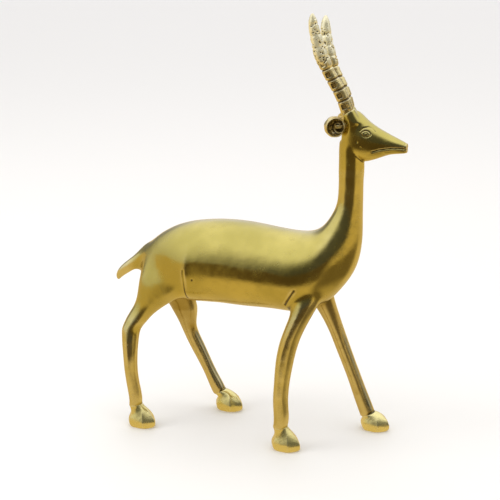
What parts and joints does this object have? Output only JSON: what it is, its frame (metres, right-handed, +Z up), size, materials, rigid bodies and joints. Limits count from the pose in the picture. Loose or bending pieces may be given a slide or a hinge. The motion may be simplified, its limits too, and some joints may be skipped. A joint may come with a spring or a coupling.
{
  "type": "antelope statuette",
  "caption": "Standing antelope figurine in polished cast brass, walking pose, upright neck, ringed horns swept back, short tail and flared hooves.",
  "frame": {"origin": "on the ground under the soles, at the middle of the length and width of the whole figure", "axes": "+X the way the animal faces, +Y its left side, +Z up from the soles"},
  "size_m": [0.2344, 0.0756, 0.3283],
  "materials": {
    "brass_body": "polished, hand-buffed, light olive tarnish",
    "brass_hoof": "polished, filed ridges, dark in the joint line",
    "brass_horn": "as cast and rubbed, dark patina in the grooves and pits",
    "stud_steel": "plain turned rod"
  },
  "bodies": {
    "root": {"body_shell_left": "brass_body", "body_shell_right": "brass_body", "head": "brass_body", "tail": "brass_body", "leg_fore_left": "brass_body", "leg_fore_right": "brass_body", "leg_hind_left": "brass_body", "leg_hind_right": "brass_body", "hoof_fore_left": "brass_hoof", "hoof_fore_right": "brass_hoof", "hoof_hind_left": "brass_hoof", "hoof_hind_right": "brass_hoof", "horn_left": "brass_horn", "horn_right": "brass_horn", "ear_left": "brass_horn", "ear_right": "brass_horn", "horn_studs": "stud_steel"}
  },
  "joints": []
}
